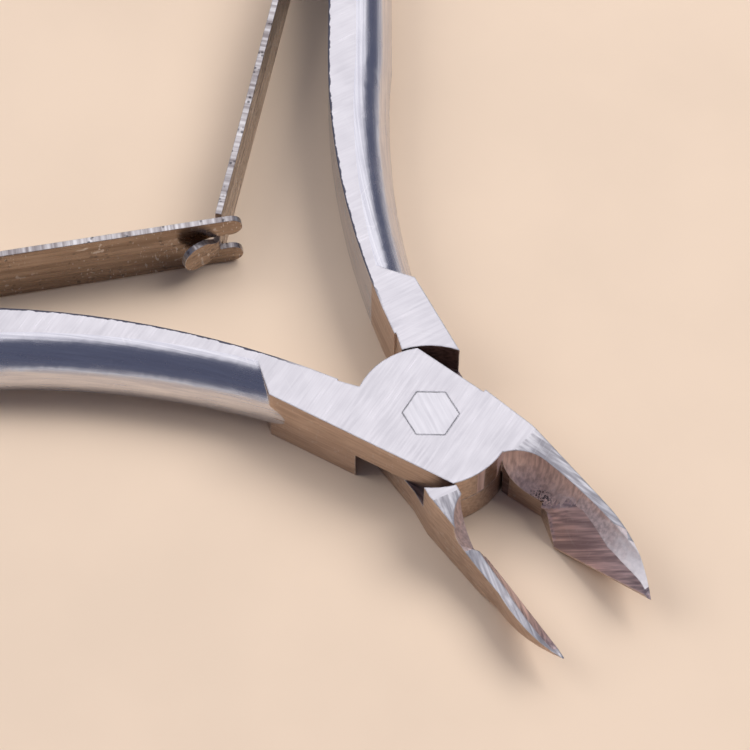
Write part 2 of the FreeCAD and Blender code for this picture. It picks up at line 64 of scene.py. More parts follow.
class Wiring:
    """Adds nodes to one node tree and links them."""

    def __init__(self, tree: bpy.types.NodeTree) -> None:
        """Keep the tree that every later call adds to."""
        self.tree = tree

    def feed(self, node: bpy.types.Node, socket: int | str, value: object) -> None:
        """Link a socket, or set its number.

        Args:
            node: The node that owns the input.
            socket: The input's index or name.
            value: An output socket to link, or a value to set.
        """
        target = node.inputs[socket]
        if isinstance(value, bpy.types.NodeSocket):
            self.tree.links.new(value, target)
        else:
            target.default_value = value

    def add(self, kind: str, inputs: dict | None = None, **settings: object) -> bpy.types.Node:
        """Add a node.

        Args:
            kind: The node's type name.
            inputs: Values or sockets for its inputs.
            settings: Values for its own properties.

        Returns:
            The new node.
        """
        node = self.tree.nodes.new(kind)
        for name, setting in settings.items():
            setattr(node, name, setting)
        for socket, value in (inputs or {}).items():
            self.feed(node, socket, value)
        return node

    def math(self, operation: str, *values: object, clamp: bool = False) -> bpy.types.NodeSocket:
        """Return the result of a Math node on up to three values."""
        node = self.add("ShaderNodeMath", dict(enumerate(values)), operation=operation, use_clamp=clamp)
        return node.outputs[0]

    def vector(self, operation: str, *values: object) -> bpy.types.Node:
        """Return a Vector Math node on its values."""
        return self.add("ShaderNodeVectorMath", dict(enumerate(values)), operation=operation)

    def ramp(self, value: object, low: float, high: float, to_low: float = 0.0,
             to_high: float = 1.0) -> bpy.types.NodeSocket:
        """Map a value from one range to another, smoothly and clamped.

        Args:
            value: The socket to map.
            low: The value that becomes to_low.
            high: The value that becomes to_high.
            to_low: The result at low.
            to_high: The result at high.

        Returns:
            The mapped value.
        """
        node = self.add(
            "ShaderNodeMapRange", {0: value, 1: low, 2: high, 3: to_low, 4: to_high},
            interpolation_type="SMOOTHSTEP",
        )
        return node.outputs[0]

    def noise(self, where: object, scale: float, detail: float = 2.0) -> bpy.types.NodeSocket:
        """Return the value of a noise texture."""
        return self.add(
            "ShaderNodeTexNoise", {"Vector": where, "Scale": scale, "Detail": detail},
        ).outputs[0]

    def mix(self, factor: object, first: object, second: object,
            blend: str = "MIX") -> bpy.types.NodeSocket:
        """Mix two colours.

        Args:
            factor: Share of the second colour.
            first: A colour or socket.
            second: A colour or socket.
            blend: The mixing rule.

        Returns:
            The mixed colour.
        """
        node = self.add("ShaderNodeMix", data_type="RGBA", blend_type=blend)
        for socket, value in ((0, factor), (6, first), (7, second)):
            if isinstance(value, tuple):
                value = (*value, 1.0)
            self.feed(node, socket, value)
        return node.outputs[2]


class Effects:
    """The node groups that the finishes share, each built once."""

    def __init__(self) -> None:
        """Build every group."""
        self.grain = self._grain()
        self.scratches = self._scratches()
        self.wear_and_highlight = self._wear_and_highlight()
        self.smudge = self._smudge()
        self.pits = self._pits()

    @staticmethod
    def _group(name: str, inputs: dict[str, str], output: str,
               normal: str | None = None) -> tuple:
        """Open a group with named sockets.

        Args:
            name: The group's name.
            inputs: Socket type by input name.
            output: The name of its value output.
            normal: The name of its normal output, where it has one.

        Returns:
            The tree, its wiring, the group's input node and its output node.
        """
        tree = bpy.data.node_groups.new(name, "ShaderNodeTree")
        for label, kind in inputs.items():
            tree.interface.new_socket(label, in_out="INPUT", socket_type=kind)
        tree.interface.new_socket(output, in_out="OUTPUT", socket_type="NodeSocketFloat")
        if normal:
            tree.interface.new_socket(normal, in_out="OUTPUT", socket_type="NodeSocketVector")
        wiring = Wiring(tree)
        return tree, wiring, wiring.add("NodeGroupInput"), wiring.add("NodeGroupOutput")

    def _grain(self) -> bpy.types.NodeTree:
        """Grinding lines: noise drawn out along X, fading in and out in soft patches."""
        tree, wire, given, result = self._group(
            "GrindingGrain",
            {"Vector": "NodeSocketVector", "Across": "NodeSocketFloat", "Along": "NodeSocketFloat"},
            "Tone",
        )
        split = wire.add("ShaderNodeSeparateXYZ", {0: given.outputs["Vector"]})
        across = given.outputs["Across"]
        drawn = wire.add("ShaderNodeCombineXYZ", {
            0: wire.math("MULTIPLY", split.outputs[0], given.outputs["Along"]),
            1: wire.math("MULTIPLY", split.outputs[1], across),
            2: wire.math("MULTIPLY", split.outputs[2], across),
        })
        fine = wire.noise(drawn.outputs[0], 1.0, 3.0)
        coarse = wire.noise(drawn.outputs[0], 0.3, 1.0)
        both = wire.math("ADD", wire.math("MULTIPLY", fine, 0.8), wire.math("MULTIPLY", coarse, 0.2))
        wire.feed(result, 0, wire.ramp(both, 0.32, 0.68))
        return tree

    def _scratches(self) -> bpy.types.NodeTree:
        """Handling scratches: the crests of drawn-out noise in three directions, in patches."""
        tree, wire, given, result = self._group(
            "HandlingScratches", {"Vector": "NodeSocketVector", "Amount": "NodeSocketFloat"}, "Mask",
        )
        total: object = 0.0
        for turn in (0.35, 1.25, 2.45):
            turned = wire.add(
                "ShaderNodeVectorRotate", {"Vector": given.outputs["Vector"], "Angle": turn},
                rotation_type="Z_AXIS",
            )
            drawn = wire.vector("MULTIPLY", turned.outputs[0], (260.0, 7000.0, 2500.0))
            crest = wire.ramp(wire.noise(drawn.outputs[0], 1.0, 0.0), 0.70, 0.78)
            patch = wire.ramp(wire.noise(turned.outputs[0], 180.0 + 60.0 * turn, 1.0), 0.45, 0.65)
            total = wire.math("MAXIMUM", total, wire.math("MULTIPLY", crest, patch))
        wire.feed(result, 0, wire.math("MULTIPLY", total, given.outputs["Amount"], clamp=True))
        return tree

    def _wear_and_highlight(self) -> bpy.types.NodeTree:
        """Worn edges with a painted highlight: where the surface turns within the radius, broken up by
        noise.
        """
        tree, wire, given, result = self._group(
            "EdgeWearAndHighlight", {"Vector": "NodeSocketVector", "Radius": "NodeSocketFloat"}, "Mask", "Normal",
        )
        rounded = wire.add("ShaderNodeBevel", {"Radius": given.outputs["Radius"]}, samples=4)
        plain = wire.add("ShaderNodeNewGeometry")
        turn = wire.vector("DOT_PRODUCT", rounded.outputs[0], plain.outputs["Normal"])
        edge = wire.ramp(turn.outputs["Value"], 0.995, 0.90)
        broken = wire.ramp(wire.noise(given.outputs["Vector"], 2600.0, 3.0), 0.35, 0.60, 0.25, 1.0)
        wire.feed(result, 0, wire.math("MULTIPLY", edge, broken))
        wire.feed(result, 1, rounded.outputs[0])
        return tree

    def _smudge(self) -> bpy.types.NodeTree:
        """Handling smudges: two sizes of soft cloud."""
        tree, wire, given, result = self._group(
            "Smudges", {"Vector": "NodeSocketVector", "Size": "NodeSocketFloat"}, "Value",
        )
        broad = wire.noise(given.outputs["Vector"], 1.0, 2.0)
        scaled = wire.vector("SCALE", given.outputs["Vector"])
        wire.feed(scaled, "Scale", given.outputs["Size"])
        small = wire.noise(scaled.outputs[0], 1.0, 4.0)
        both = wire.math("ADD", wire.math("MULTIPLY", broad, 0.2), wire.math("MULTIPLY", small, 0.8))
        wire.feed(result, 0, wire.ramp(both, 0.35, 0.65))
        return tree

    def _pits(self) -> bpy.types.NodeTree:
        """Small dark pits: cells of a Voronoi pattern near their centres, one in a few kept."""
        tree, wire, given, result = self._group(
            "Pits", {"Vector": "NodeSocketVector", "Count": "NodeSocketFloat"}, "Mask",
        )
        scaled = wire.vector("SCALE", given.outputs["Vector"])
        wire.feed(scaled, "Scale", given.outputs["Count"])
        cells = wire.add("ShaderNodeTexVoronoi", {"Vector": scaled.outputs[0], "Scale": 1.0})
        near = wire.ramp(cells.outputs["Distance"], 0.42, 0.18)
        kept = wire.ramp(wire.noise(scaled.outputs[0], 0.35, 2.0), 0.50, 0.60)
        wire.feed(result, 0, wire.math("MULTIPLY", near, kept))
        return tree


# Finishes


class Lay(Enum):
    """What a finish's grinding lines follow."""

    FRAME = "frame"
    RUN = "run"


@dataclass(frozen=True)
class Finish:
    """A ground or rolled steel surface.

    Colours are linear.  Across and along are the grain's lines per metre; turn is the direction of
    the lines in degrees about X, Y and Z; relief is the depth of the lines in metres; metal is how
    metallic the surface is.
    """

    name: str
    colour: tuple[float, float, float]
    shade: tuple[float, float, float]
    roughness: float
    across: float
    along: float
    turn: tuple[float, float, float] = (0.0, 0.0, 0.0)
    relief: float = 4e-6
    scratch: float = 0.6
    spread: float = 0.12
    wear_and_highlight: float = 0.12e-3
    pit: float = 0.0
    pit_count: float = 2500.0
    lay: Lay = Lay.FRAME
    metal: float = 1.0

    def dress(self, effects: Effects) -> bpy.types.Material:
        """Build the material.

        Args:
            effects: The shared node groups.

        Returns:
            The new material.
        """
        material = bpy.data.materials.new(self.name)
        material.use_nodes = True
        material.diffuse_color = (*self.colour, 1.0)
        wire = Wiring(material.node_tree)
        material.node_tree.nodes.clear()
        place = wire.add("ShaderNodeTexCoord").outputs["Object"]
        grain_place = place
        if self.lay is Lay.RUN:
            grain_place = wire.add("ShaderNodeAttribute", attribute_name="run").outputs["Vector"]
        turned = wire.add("ShaderNodeMapping", {"Vector": grain_place})
        turned.inputs["Rotation"].default_value = tuple(math.radians(a) for a in self.turn)
        grain = wire.add("ShaderNodeGroup", node_tree=effects.grain)
        wire.feed(grain, "Vector", turned.outputs[0])
        wire.feed(grain, "Across", self.across)
        wire.feed(grain, "Along", self.along)
        tone = grain.outputs["Tone"]
        scratch = self._effect(wire, effects.scratches, place, "Amount", self.scratch)
        wear_and_highlight = self._effect(wire, effects.wear_and_highlight, place, "Radius", self.wear_and_highlight)
        smudge = self._effect(wire, effects.smudge, place, "Size", 420.0)
        pits = self._effect(wire, effects.pits, place, "Count", self.pit_count)
        pits = wire.math("MULTIPLY", pits, self.pit)
        colour = wire.mix(tone, self.shade, self.colour)
        colour = wire.mix(wire.math("MULTIPLY", smudge, 0.25), colour, self.shade)
        colour = wire.mix(wire.math("MULTIPLY", scratch, 0.5), colour, (0.86, 0.85, 0.86))
        # Edges go toward near-white: partly wear, partly a painted highlight standing in for the glint of
        # rounded steel edges.
        colour = wire.mix(wire.math("MULTIPLY", wear_and_highlight, 0.7), colour, (0.90, 0.89, 0.90))
        colour = wire.mix(pits, colour, (0.05, 0.045, 0.045))
        colour = self._marks(wire, place, colour)
        rough = wire.math("MULTIPLY_ADD", tone, -self.spread, self.roughness + self.spread / 2)
        rough = wire.math("MULTIPLY_ADD", smudge, 0.06, rough)
        rough = wire.math("MULTIPLY_ADD", pits, 0.4, rough, clamp=True)
        height = wire.math("MULTIPLY_ADD", scratch, -0.6, tone)
        height = wire.math("MULTIPLY_ADD", pits, -4.0, height)
        bump = wire.add("ShaderNodeBump", {
            "Height": height, "Distance": self.relief, "Normal": wear_and_highlight.node.outputs["Normal"],
        })
        bump.inputs["Strength"].default_value = 1.0
        steel = wire.add("ShaderNodeBsdfPrincipled", {
            "Base Color": colour, "Metallic": self._metal(wire, place), "Roughness": rough,
            "Normal": bump.outputs[0],
        })
        wire.add("ShaderNodeOutputMaterial", {0: steel.outputs[0]})
        return material

    @staticmethod
    def _effect(wire: Wiring, tree: bpy.types.NodeTree, place: object, socket: str,
                value: float) -> bpy.types.NodeSocket:
        """Place a shared group and return its output."""
        node = wire.add("ShaderNodeGroup", node_tree=tree)
        wire.feed(node, "Vector", place)
        wire.feed(node, socket, value)
        return node.outputs[0]

    def _marks(self, wire: Wiring, place: object, colour: object) -> object:
        """Return the colour with marks of this finish's own; plain finishes have none."""
        return colour

    def _metal(self, wire: Wiring, place: object) -> object:
        """Return how metallic the surface is."""
        return self.metal


@dataclass(frozen=True)
class SeamedFinish(Finish):
    """A ground end that shows its hexagonal seam as a thin dark line."""

    apothem: float = 1.62e-3
    line: float = 0.04e-3

    def _marks(self, wire: Wiring, place: object, colour: object) -> object:
        """Darken where the largest of three |position . side normal| nears the apothem."""
        far: object = 0.0
        for side in range(3):
            angle = math.radians(45.0 + 30.0 + 60.0 * side)
            reach = wire.vector("DOT_PRODUCT", place, (math.cos(angle), math.sin(angle), 0.0))
            far = wire.math("MAXIMUM", far, wire.math("ABSOLUTE", reach.outputs["Value"]))
        seam = wire.ramp(far, self.apothem - self.line, self.apothem - self.line / 2)
        broken = wire.ramp(wire.noise(place, 1500.0, 2.0), 0.30, 0.62, 0.15, 0.55)
        return wire.mix(wire.math("MULTIPLY", seam, broken), colour, (0.12, 0.12, 0.13))


@dataclass(frozen=True)
class EdgedFinish(Finish):
    """A ground flat with a dark ragged line drawn along its inner edge at the handle."""

    edge: float = 0.14e-3

    def _marks(self, wire: Wiring, place: object, colour: object) -> object:
        """Darken ragged specks where the distance across the handle is nearly zero."""
        run = wire.add("ShaderNodeAttribute", attribute_name="run").outputs["Vector"]
        split = wire.add("ShaderNodeSeparateXYZ", {0: run})
        across = wire.math("ABSOLUTE", split.outputs[1])
        ragged = wire.math("MULTIPLY", wire.noise(place, 2400.0, 3.0), 2.0 * self.edge)
        near = wire.ramp(wire.math("SUBTRACT", ragged, across), 0.0, self.edge / 4)
        handle = wire.ramp(split.outputs[0], 2.0e-3, 5.0e-3)
        return wire.mix(wire.math("MULTIPLY", near, handle), colour, (0.10, 0.10, 0.13))


@dataclass(frozen=True)
class ScoopedFinish(Finish):
    """A ground hollow: bright toward the jaw's tip, with a small rough patch near its heel."""

    axis: tuple[float, float, float] = (1.0, 0.0, 0.0)
    patch: tuple[float, float, float] = (0.0, 0.0, 0.0)
    rough_patch: float = 1.0
    bright: tuple[float, float] = (14.0e-3, 19.0e-3)

    def _marks(self, wire: Wiring, place: object, colour: object) -> object:
        """Brighten by distance along the jaw, and darken specks near the patch's centre."""
        colour = wire.mix(wire.math("MULTIPLY", self._tip(wire, place), 0.75), colour, (0.97, 0.95, 0.96))
        away = wire.vector("DISTANCE", place, self.patch).outputs["Value"]
        near = wire.ramp(away, 1.25e-3, 0.5e-3, 0.0, self.rough_patch)
        speck = wire.ramp(wire.noise(place, 6500.0, 3.0), 0.50, 0.58)
        return wire.mix(wire.math("MULTIPLY", near, speck), colour, (0.06, 0.045, 0.05))

    def _metal(self, wire: Wiring, place: object) -> object:
        """Return less than wholly metallic near the tip, whose coarse lines scatter light."""
        return wire.math("MULTIPLY_ADD", self._tip(wire, place), 0.4 - self.metal, self.metal)

    def _tip(self, wire: Wiring, place: object) -> bpy.types.NodeSocket:
        """Return how near a place is to the jaw's tip, broken up by noise."""
        along = wire.vector("DOT_PRODUCT", place, self.axis).outputs["Value"]
        ragged = wire.math("MULTIPLY_ADD", wire.noise(place, 1800.0, 3.0), 3.0e-3, along)
        return wire.ramp(ragged, *self.bright)


class Region(Enum):
    """The differently worked surfaces of a lever, and its recess in painted shade, in the order of its
    material slots.
    """

    FLAT = 0
    BAR = 1
    BEVEL = 2
    SCOOP = 3
    BLADE = 4
    WALL = 5
    RECESS = 6


# Meshes


@dataclass(frozen=True)
class PlanPath:
    """A flat path of straight runs and tangent arcs.

    start is x, y in metres and a heading in degrees; a step is (length, None) for a straight run,
    or (radius, new heading) for an arc.
    """

    start: tuple[float, float, float]
    steps: tuple[tuple[float, float | None], ...]

    def segments(self) -> list[tuple[float, float, float, float, float]]:
        """List each step as x, y, heading in radians, length and signed curvature."""
        x, y, heading = self.start[0], self.start[1], math.radians(self.start[2])
        rows = []
        for size, new in self.steps:
            if new is None:
                rows.append((x, y, heading, size, 0.0))
                x += size * math.cos(heading)
                y += size * math.sin(heading)
                continue
            turn = math.radians(new) - heading
            curve = math.copysign(1.0 / size, turn)
            rows.append((x, y, heading, abs(turn) * size, curve))
            x += (math.sin(heading + turn) - math.sin(heading)) / curve
            y -= (math.cos(heading + turn) - math.cos(heading)) / curve
            heading += turn
        return rows

    @property
    def length(self) -> float:
        """The path's whole length."""
        return sum(row[3] for row in self.segments())

    def at(self, along: np.ndarray) -> tuple[np.ndarray, np.ndarray]:
        """Points and headings at distances along the path.

        On a straight run the point is start + s (cos h, sin h).  On an arc of curvature k it is
        start + ((sin(h + k s) - sin h) / k, (cos h - cos(h + k s)) / k).  Distances before the
        path and past it follow the first and the last step's tangent.

        Args:
            along: Distances from the start, of any shape.

        Returns:
            Points of that shape with a last axis of two, and headings of that shape.
        """
        points = np.zeros(along.shape + (2,))
        headings = np.zeros(along.shape)
        done = 0.0
        rows = self.segments()
        for index, (x, y, heading, length, curve) in enumerate(rows):
            here = (along >= done) | (index == 0)
            s = along - done
            bent = np.clip(s, 0.0, length) if curve else np.zeros_like(s)
            turned = heading + curve * bent
            rest = s - bent
            if curve:
                px = x + (np.sin(turned) - math.sin(heading)) / curve
                py = y + (math.cos(heading) - np.cos(turned)) / curve
            else:
                px, py = np.full_like(s, x), np.full_like(s, y)
            spot = np.stack([px + rest * np.cos(turned), py + rest * np.sin(turned)], axis=-1)
            points[here] = spot[here]
            headings[here] = turned[here]
            done += length
        return points, headings

    def coordinates(self, points: np.ndarray, samples: int = 400, before: float = 30.0 * MM,
                    past: float = 10.0 * MM) -> np.ndarray:
        """Distance along and across the path of points near it.

        The path is sampled, the nearest sample is found, and the rest of the way is measured
        along and across its heading.

        Args:
            points: Rows of x, y.
            samples: How finely the path is sampled.
            before: How far the sampling starts before the path.
            past: How far it goes on past the path.

        Returns:
            Rows of distance along and distance across.
        """
        reach = np.linspace(-before, self.length + past, samples)
        spots, headings = self.at(reach)
        gap = points[:, None, :] - spots[None, :, :]
        near = np.argmin((gap ** 2).sum(axis=2), axis=1)
        offset = points - spots[near]
        cos, sin = np.cos(headings[near]), np.sin(headings[near])
        along = reach[near] + offset[:, 0] * cos + offset[:, 1] * sin
        across = offset[:, 1] * cos - offset[:, 0] * sin
        return np.stack([along, across], axis=1)


def seat_of(path: PlanPath) -> tuple[float, float, float]:
    """Return where the seat's straight run, the path's fourth step, starts, and its heading."""
    x, y, heading = path.segments()[3][:3]
    return x, y, math.degrees(heading)


def places_of(mesh: bpy.types.Mesh) -> np.ndarray:
    """Return the places of a mesh's vertices as rows."""
    spots = np.empty(len(mesh.vertices) * 3)
    mesh.vertices.foreach_get("co", spots)
    return spots.reshape(-1, 3)


def new_object(name: str, mesh: bpy.types.Mesh) -> bpy.types.Object:
    """Return a new object of a mesh, linked to the scene."""
    obj = bpy.data.objects.new(name, mesh)
    bpy.context.scene.collection.objects.link(obj)
    return obj


def smooth_and_break(mesh: bpy.types.Mesh, degrees: float) -> None:
    """Shade a mesh smooth, with edges sharper than the angle kept sharp."""
    mesh.polygons.foreach_set("use_smooth", np.ones(len(mesh.polygons), bool))
    mesh.set_sharp_from_angle(angle=math.radians(degrees))
    mesh.update()


def round_edges(obj: bpy.types.Object, width: float, degrees: float, segments: int = 2) -> None:
    """Break an object's edges with a small round.

    Blender narrows the whole object's round until none of it overlaps.  The levers have edges so
    short, next to the cuts through their jaws, that next to nothing of their round is left.

    Args:
        obj: The object.
        width: The round's widest, in metres.
        degrees: Edges sharper than this are rounded.
        segments: Steps across the round.
    """
    bevel = obj.modifiers.new("EdgeBreak", "BEVEL")
    bevel.width = width
    bevel.segments = segments
    bevel.limit_method = "ANGLE"
    bevel.angle_limit = math.radians(degrees)
    bevel.harden_normals = True


def merged_copy(node: str, name: str) -> bpy.types.Mesh:
    """Copy a CAD node's mesh and merge its loose triangles.

    Corners whose rounded positions are equal become one vertex: the unique rows of the rounded
    positions are the new vertices, and each triangle's corners point at them.

    Args:
        node: The CAD node.
        name: The new mesh's name.

    Returns:
        A closed mesh of triangles.
    """
    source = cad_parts[node].data
    spots = places_of(source)
    corners = np.empty(len(source.loops), int)
    source.loops.foreach_get("vertex_index", corners)
    keys = np.round(spots / MERGE_STEP).astype(int)
    _, first, owner = np.unique(keys, axis=0, return_index=True, return_inverse=True)
    faces = owner.reshape(-1)[corners].reshape(-1, 3)
    kept = (faces[:, 0] != faces[:, 1]) & (faces[:, 1] != faces[:, 2]) & (faces[:, 2] != faces[:, 0])
    mesh = bpy.data.meshes.new(name)
    mesh.from_pydata(spots[first].tolist(), [], faces[kept].tolist())
    mesh.update()
    return mesh


def face_rows(mesh: bpy.types.Mesh) -> tuple[np.ndarray, np.ndarray]:
    """Return the centre and the normal of every face as rows."""
    centres = np.empty(len(mesh.polygons) * 3)
    normals = np.empty(len(mesh.polygons) * 3)
    mesh.polygons.foreach_get("center", centres)
    mesh.polygons.foreach_get("normal", normals)
    return centres.reshape(-1, 3), normals.reshape(-1, 3)


def write_run(mesh: bpy.types.Mesh, rows: np.ndarray) -> None:
    """Store rows of along, across and height as the mesh's run attribute."""
    layer = mesh.attributes.new("run", "FLOAT_VECTOR", "POINT")
    layer.data.foreach_set("vector", rows.astype(np.float32).ravel())


# Levers

# The handle's line in plan, from the root to the end, with the handle at -Y.

HANDLE = PlanPath(
    (-6.2 * MM, -2.62 * MM, 201.5),
    (
        (62.0 * MM, 224.0), (14.3 * MM, None), (6.0 * MM, 198.0), (9.5 * MM, None),
        (32.0 * MM, 175.0), (22.5 * MM, None),
    ),
)


# These are in the jaw's axes: along the cutting edge, across, up.  The facet's heel line and ridge
# are places along the jaw over heights; its lean is in degrees at places along the jaw; its grain
# is a direction; the rough patch is a place.

HEEL_LINE = np.array([[8.3, 9.52, 10.42, 11.07], [1.81, 2.47, 3.13, 3.49]]) * MM
RIDGE_LINE = np.array([
    [8.1, 11.07, 11.83, 13.03, 14.62, 16.12, 17.9, 18.69, 19.2],
    [3.49, 3.49, 3.61, 3.39, 3.05, 3.04, 3.15, 3.08, 3.14],
]) * MM
FACET_GRAIN = (0.743, 0.213, 0.634)
ROUGH_PATCH = np.array([8.7, 1.0, 2.3]) * MM
LEAN_LINE = (np.array([8.3, 11.0, 14.5, 18.0, 19.2]) * MM, np.array([13.0, 29.0, 34.0, 45.0, 50.0]))


@dataclass
class Lever:
    """A handle, a half of the lap and a jaw, forged in one and ground.

    side is -1 where the handle lies at -Y and +1 where it lies at +Y.  The jaw's cutting edge is
    turned from the X axis by jaw_turn, toward its own side.  rough_patch is how strongly the small
    rough patch in the scoop shows.  strip is how far the ridge lies below the border, or 0 for a
    ridge that follows RIDGE_LINE.  edge_rise is the edge's slope: its rise over its run.
    """

    name: str
    node: str
    body: str
    side: int
    jaw_turn: float
    scoop_start: float
    rough_patch: float
    strip: float
    edge_break: float = 0.07 * MM
    thickness: float = 5.2 * MM
    bar_start: float = -11.3 * MM
    bevel_fall: float = 8.19
    seat_from: float = 5.0 * MM
    seat_to: float = 6.1 * MM
    bevel_start: float = 6.0 * MM
    scoop_radius: float = 3.0 * MM
    scoop_rise: float = 8.0
    scoop_height: float = 4.45 * MM
    scoop_inset: float = -0.45 * MM
    jaw_length: float = 19.2 * MM
    heel_reach: float = 11.1 * MM
    edge_inset: float = 0.03 * MM
    edge_height: float = 0.18 * MM
    edge_rise: float = 0.3642
    knee_share: float = 0.60
    strip_start: float = 9.3 * MM
    strip_run: float = 0.8 * MM
    heel_run: float = 0.25 * MM
    grid_start: float = 8.2 * MM
    station_gap: float = 0.3 * MM
    row_start: float = 0.5 * MM
    row_end: float = 4.8 * MM
    row_gap: float = 0.2 * MM

    def build(self) -> bpy.types.Object:
        """Return the lever, with its ground jaw, its grain direction and its regions."""
        mesh = merged_copy(self.node, self.name)
        self.grind(mesh)
        spots = places_of(mesh)
        plan = spots[:, :2] * np.array([1.0, -self.side])
        write_run(mesh, np.column_stack([HANDLE.coordinates(plan), spots[:, 2]]))
        smooth_and_break(mesh, 24.0)
        centres, normals = face_rows(mesh)
        region = self.regions(centres, normals)
        ground = np.empty(len(mesh.polygons), int)
        mesh.attributes["ground"].data.foreach_get("value", ground)
        strip = bool(self.strip) & (self.to_jaw(centres)[:, 0] >= self.strip_start)
        region[ground == IN_SCOOP] = Region.SCOOP.value
        region[(ground == IN_SCOOP) & strip] = Region.BEVEL.value
        region[ground == ON_FACET] = Region.BLADE.value
        mesh.polygons.foreach_set("material_index", region)
        obj = new_object(self.name, mesh)
        round_edges(obj, self.edge_break, 24.0)
        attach(obj, self.body)
        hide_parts(self.node)
        return obj

    @property
    def jaw_axes(self) -> np.ndarray:
        """Rows that take a vector of the frame to the jaw's: along the edge, across, up."""
        turn = math.radians(self.jaw_turn)
        along = np.array([math.cos(turn), math.sin(turn), 0.0])
        across = np.array([-math.sin(turn), math.cos(turn), 0.0])
        return np.array([along, across, [0.0, 0.0, 1.0]]) * np.array([1.0, -self.side, 1.0])

    def to_jaw(self, rows: np.ndarray) -> np.ndarray:
        """Return rows of positions or normals in the jaw's axes."""
        return rows @ self.jaw_axes.T

    def grind(self, mesh: bpy.types.Mesh) -> None:
        """Grind the inner side of the jaw, and mark its faces.

        The inner side's faces are cut at stations along the jaw, along the ridge, and at heights.
        Then every point that is not on the side's border goes to its ground place.  Each face's
        "ground" attribute is 0 off the inner side, IN_SCOOP in the scoop and ON_FACET on the facet.

        Args:
            mesh: The lever's merged mesh, which is changed.
        """
        inner = np.isin(self.regions(*face_rows(mesh)), (Region.SCOOP.value, Region.BLADE.value))
        work = bmesh.new()
        work.from_mesh(mesh)
        layer = work.faces.layers.int.new("ground")
        work.faces.ensure_lookup_table()
        faces = [face for face in work.faces if inner[face.index]]
        for face in faces:
            face[layer] = IN_SCOOP
        axes = self.jaw_axes
        spread = np.arange(self.grid_start, self.jaw_length, self.station_gap)
        stations = np.unique(np.append(spread, RIDGE_LINE[0]))
        for place in stations:
            faces = self.cut(work, faces, axes[0] * place, axes[0])
        border = self.border(faces, stations)
        ridge = self.ridge(border)
        for (x, z), (next_x, next_z) in zip(ridge[:-1], ridge[1:]):
            across = (next_x - x) * axes[2] - (next_z - z) * axes[0]
            along = Vector(axes[0])
            met = [face for face in faces if x < face.calc_center_median().dot(along) < next_x]
            rest = set(faces) - set(met)
            faces = [*rest, *self.cut(work, met, x * axes[0] + z * axes[2], across)]
        for place in np.arange(self.row_start, self.row_end, self.row_gap):
            faces = self.cut(work, faces, axes[2] * place, axes[2])
        centres = self.to_jaw(np.array([tuple(face.calc_center_median()) for face in faces]))
        heel = np.interp(centres[:, 2], HEEL_LINE[1], HEEL_LINE[0])
        below = centres[:, 2] <= np.interp(centres[:, 0], ridge[:, 0], ridge[:, 1])
        for face, on_facet in zip(faces, below & (centres[:, 0] > heel)):
            face[layer] = ON_FACET if on_facet else IN_SCOOP
        free = [
            corner for corner in {corner for face in faces for corner in face.verts}
            if all(face[layer] for face in corner.link_faces)
        ]
        at = self.to_jaw(np.array([tuple(corner.co) for corner in free]))
        for corner, spot in zip(free, self.ground_to(at, ridge, border) @ axes):
            corner.co = spot
        work.to_mesh(mesh)
        work.free()
        mesh.update()

    @staticmethod
    def cut(work: bmesh.types.BMesh, faces: list, place: np.ndarray, direction: np.ndarray) -> list:
        """Cut faces with a plane.

        Args:
            work: The mesh that owns the faces.
            faces: The faces to cut.
            place: A point on the plane.
            direction: The plane's normal, of any length.

        Returns:
            The faces after the cut.
        """
        edges = {edge for face in faces for edge in face.edges}
        corners = {corner for face in faces for corner in face.verts}
        done = bmesh.ops.bisect_plane(
            work, geom=[*faces, *edges, *corners], dist=2e-6, plane_co=tuple(place),
            plane_no=tuple(direction / np.linalg.norm(direction)),
        )
        return [part for part in done["geom"] if isinstance(part, bmesh.types.BMFace)]

    def border(self, faces: list, stations: np.ndarray) -> np.ndarray:
        """Find the inner side's upper border: its highest point at each station.

        Args:
            faces: The inner side's faces, cut at the stations.
            stations: Places along the jaw.

        Returns:
            Rows of place along the jaw, distance across and height.
        """
        corners = {corner for face in faces for corner in face.verts}
        at = self.to_jaw(np.array([tuple(corner.co) for corner in corners]))
        rows = []
        for place in stations:
            here = at[np.abs(at[:, 0] - place) < 10 * MERGE_STEP]
            if len(here):
                rows.append((place, *here[here[:, 2].argmax(), 1:]))
        return np.array(rows)

    def ridge(self, border: np.ndarray) -> np.ndarray:
        """Return the facet's upper edge as rows of place along the jaw and height.

        A lever with a strip has its ridge that far below the border; the other follows the line
        that the picture shows.
        """
        if self.strip:
            return np.stack([border[:, 0], border[:, 2] - self.strip], axis=1)
        return RIDGE_LINE.T

